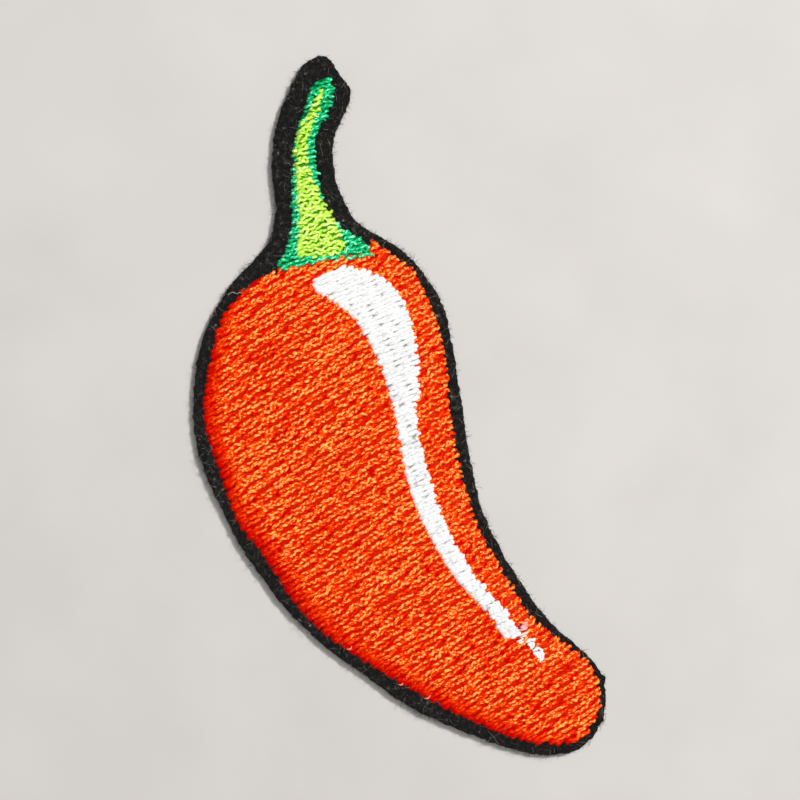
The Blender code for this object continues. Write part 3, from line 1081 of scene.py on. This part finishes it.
def matted_fibres(loops):
    """Short fibres that lie matted on the felt's border."""
    outer, pocket = loops["felt"], loops["pocket"]
    spots = RNG.uniform(outer.min(0), outer.max(0), (30000, 2))
    spots = spots[inside(spots, outer)]
    spots = spots[~inside(spots, pocket) | (distance_to(spots, pocket) < 0.25)]
    taper = np.array([0.5, 1, 1, 1, 0.4])
    share = np.linspace(-0.5, 0.5, len(taper))
    runs = []
    for spot in spots[:MATTED_FIBRES]:
        turn = RNG.uniform(0, 2 * math.pi)
        length = RNG.uniform(0.5, 1.5)
        heading = turn + RNG.uniform(-1.2, 1.2) * share
        step = np.column_stack([np.cos(heading), np.sin(heading)]) * length / 4
        flat = spot + np.cumsum(step, 0) - step.sum(0) / 2
        level = FELT_TOP - 0.02 + RNG.uniform(-0.03, 0.05)
        top = level + 0.05 * noise(flat[:, 0] * 4, flat[:, 1] * 4)
        side = np.array([-math.sin(turn), math.cos(turn), 0])
        radius = RNG.uniform(0.014, 0.024) * taper
        runs.append(thread_run(np.column_stack([flat, top]), side, radius, RNG.random(), 0))
    return runs


def edge_hairs(outer):
    """Hairs in tufts that stand off the felt's cut edge."""
    rim = resample(outer, 0.5)
    outward = rim - shrink(rim, 1.0)
    tufts = 0.5 + 0.5 * noise(np.arange(len(rim)) * 0.16, 12.4)
    taper = np.array([1, 1, 0.9, 0.8, 0.6, 0.3])
    share = np.linspace(0, 1, len(taper))
    runs = []
    for k in RNG.choice(len(rim), EDGE_HAIRS, p=tufts**2 / (tufts**2).sum()):
        turn = math.atan2(outward[k][1], outward[k][0]) + RNG.uniform(-1.2, 1.2)
        length = RNG.uniform(0.2, 0.5 + 0.5 * tufts[k])
        heading = turn + RNG.uniform(-1.3, 1.3) * share
        step = np.column_stack([np.cos(heading), np.sin(heading)]) * length / 5
        flat = rim[k] - 0.15 * outward[k] + np.cumsum(step, 0)
        height = RNG.uniform(FELT_BACK + 0.1, FELT_TOP) + RNG.uniform(-0.3, 0.3) * share**2
        line = np.column_stack([flat, np.maximum(height, 0.05)])
        side = np.array([-math.sin(turn), math.cos(turn), 0])
        radius = RNG.uniform(0.012, 0.02) * taper
        runs.append(thread_run(line, side, radius, RNG.random(), 0))
    return runs


def build_fibres(loops):
    """The felt's loose fibres, as plain three-sided threads."""
    runs = matted_fibres(loops)
    runs += edge_hairs(loops["felt"])
    places, faces, looks = sweep(runs, STRAIGHT, 1.0, FIBRE_SECTION)
    material, tree, shader = new_material("felt_fibre")
    stops = [(0.0, (12, 11, 11)), (0.7, (38, 36, 34)), (0.9, (76, 74, 68)), (1.0, (150, 148, 134))]
    tree.links.new(ramp(tree, attribute(tree, "tone"), stops), shader.inputs["Base Color"])
    shader.inputs["Roughness"].default_value = 0.8
    return new_piece("felt_fibres", places, faces, material, looks)


def film_material():
    """A thin clear film, pressed on the bobbin thread so that its rows show through."""
    film, tree, shader = new_material("backing_film")
    place = add(tree, "ShaderNodeTexCoord").outputs["Object"]
    turned = {"Vector": place, "Rotation": (0, 0, -math.radians(ROW_ANGLE))}
    pressed = add(tree, "ShaderNodeMapping", turned).outputs[0]
    sockets = {"Vector": pressed, "Scale": 1000 / ROW_PITCH / 20, "Distortion": 1.5}
    rows = add(tree, "ShaderNodeTexWave", sockets, bands_direction="Y").outputs["Fac"]
    relief(tree, shader, rows, 0.5, 0.05)
    cloud = noise_node(tree, place, 120, detail=3.0)
    colour = ramp(tree, cloud, [(0.3, (196, 196, 190)), (0.7, (222, 222, 216))])
    tree.links.new(colour, shader.inputs["Base Color"])
    shader.inputs["Roughness"].default_value = 0.38
    shader.inputs["Alpha"].default_value = 0.45
    return film


def build_back():
    """The film's look, and the bobbin thread that shows through it from behind."""
    node = frame["nodes"]["backing_film"]
    node.data.materials.clear()
    node.data.materials.append(film_material())
    # The bobbin thread's colours; its crests reach the high ones as painted highlight
    stops = [(0.0, (150, 148, 140)), (0.5, (222, 220, 212)), (1.0, (244, 243, 238))]
    bobbin = thread_material("bobbin_thread", stops, WHITE, (0.5, 0.65), 0.1)
    for name, node_name, angle in (
        ("bobbin_threads_body", "bobbin_stitches_body", ROW_ANGLE),
        ("bobbin_threads_stem", "bobbin_stitches_stem", STEM_ANGLE),
    ):
        loop = flat_loops(frame["nodes"][node_name], False)[0]
        along, across = directions(angle)
        numbers = loop @ across / BOBBIN_PITCH
        runs = []
        for row in range(math.ceil(numbers.min()), math.floor(numbers.max()) + 1):
            offset = row * BOBBIN_PITCH
            for start, end in spans(loop, offset, along, across):
                if end - start < SHORTEST_BOBBIN:
                    continue
                at = np.linspace(start, end, max(3, int((end - start) / BOBBIN_STEP)))
                sway = 0.06 * noise(at * 0.7, row * 3.1)
                flat = at[:, None] * along + (offset + sway)[:, None] * across
                height = FELT_BACK + 0.12 + 0.05 * noise(at * 0.9, row * 1.7)
                side = np.array([across[0], across[1], 0])
                line = np.column_stack([flat, height])
                runs.append(thread_run(line, side, BOBBIN_RADIUS, 0.5, 0))
        places, faces, looks = sweep(runs, STRAIGHT, 0.85, BOBBIN_SECTION)
        piece = new_piece(name, places, faces, bobbin, looks)
        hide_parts(node_name)


# Stage


def build_stage():
    """A pale floor, soft lights and a camera that looks straight down."""
    mesh = bpy.data.meshes.new("floor")
    half = 1.5
    mesh.from_pydata(
        [(-half, -half, 0), (half, -half, 0), (half, half, 0), (-half, half, 0)], [], [(0, 1, 2, 3)]
    )
    mesh.materials.append(plain_material("floor", (198, 194, 189), 0.8))
    floor = bpy.data.objects.new("floor", mesh)
    floor.location.z = -0.00002
    bpy.context.scene.collection.objects.link(floor)

    def lamp(name, azimuth, elevation, distance, size, power):
        turn, rise = math.radians(azimuth), math.radians(elevation)
        way = Vector(
            (math.cos(turn) * math.cos(rise), math.sin(turn) * math.cos(rise), math.sin(rise))
        )
        light = bpy.data.lights.new(name, "AREA")
        light.shape = "DISK"
        light.size = size
        light.energy = power
        holder = bpy.data.objects.new(name, light)
        holder.location = way * distance
        holder.rotation_mode = "QUATERNION"
        holder.rotation_quaternion = (-way).to_track_quat("-Z", "Y")
        bpy.context.scene.collection.objects.link(holder)

    lamp("key", 38, 62, 0.7, 0.1, 4.3)
    lamp("top", 30, 83, 0.75, 0.5, 2.8)
    world = bpy.data.worlds.new("studio")
    world.use_nodes = True
    world.node_tree.nodes["Background"].inputs["Color"].default_value = (0.95, 0.97, 1.0, 1)
    world.node_tree.nodes["Background"].inputs["Strength"].default_value = 0.07
    bpy.context.scene.world = world
    bpy.context.scene.view_settings.view_transform = "Standard"

    camera = bpy.data.cameras.new("camera")
    camera.lens = LENS
    camera.sensor_width = SENSOR
    camera.clip_start, camera.clip_end = 0.01, 10
    holder = bpy.data.objects.new("camera", camera)
    distance = VIEW_WIDTH * LENS / SENSOR
    holder.location = (VIEW_MIDDLE[0] * MM, VIEW_MIDDLE[1] * MM, (distance + FELT_TOP) * MM)
    bpy.context.scene.collection.objects.link(holder)
    bpy.context.scene.camera = holder


# The start-up file's own objects go first
for old in list(bpy.data.objects):
    bpy.data.objects.remove(old, do_unlink=True)
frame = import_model()
BODY = next(iter(frame["bodies"]))
FELT_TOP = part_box("felt_base")[1].z / MM
FELT_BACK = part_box("felt_base")[0].z / MM
BODY_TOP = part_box("body_fill_stitches")[1].z / MM - 0.03
STEM_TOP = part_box("stem_edge_stitches")[1].z / MM
CORE_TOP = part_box("stem_core_stitches")[1].z / MM


def main():
    """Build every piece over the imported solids' outlines, and then the stage."""
    felt_faces = flat_loops(frame["nodes"]["felt_base"], True)
    loops = {
        "felt": trimmed(felt_faces[0]),
        "pocket": felt_faces[1],
        "body": flat_loops(frame["nodes"]["body_fill_stitches"], False)[0],
        "highlight": flat_loops(frame["nodes"]["highlight_stitches"], False)[0],
        "stem": flat_loops(frame["nodes"]["stem_edge_stitches"], False)[0],
        "core": flat_loops(frame["nodes"]["stem_core_stitches"], False)[0],
    }
    red_heights, red_loop = build_body(loops)
    white = build_highlight(loops)
    build_end_stitches(white)
    build_loose_ends()
    build_stem(loops, red_heights, red_loop)
    felt = build_felt(loops)
    fibres = build_fibres(loops)
    build_back()
    build_pale_loops(red_heights)
    area_of(loops["felt"]) * MM * MM
    build_stage()


main()
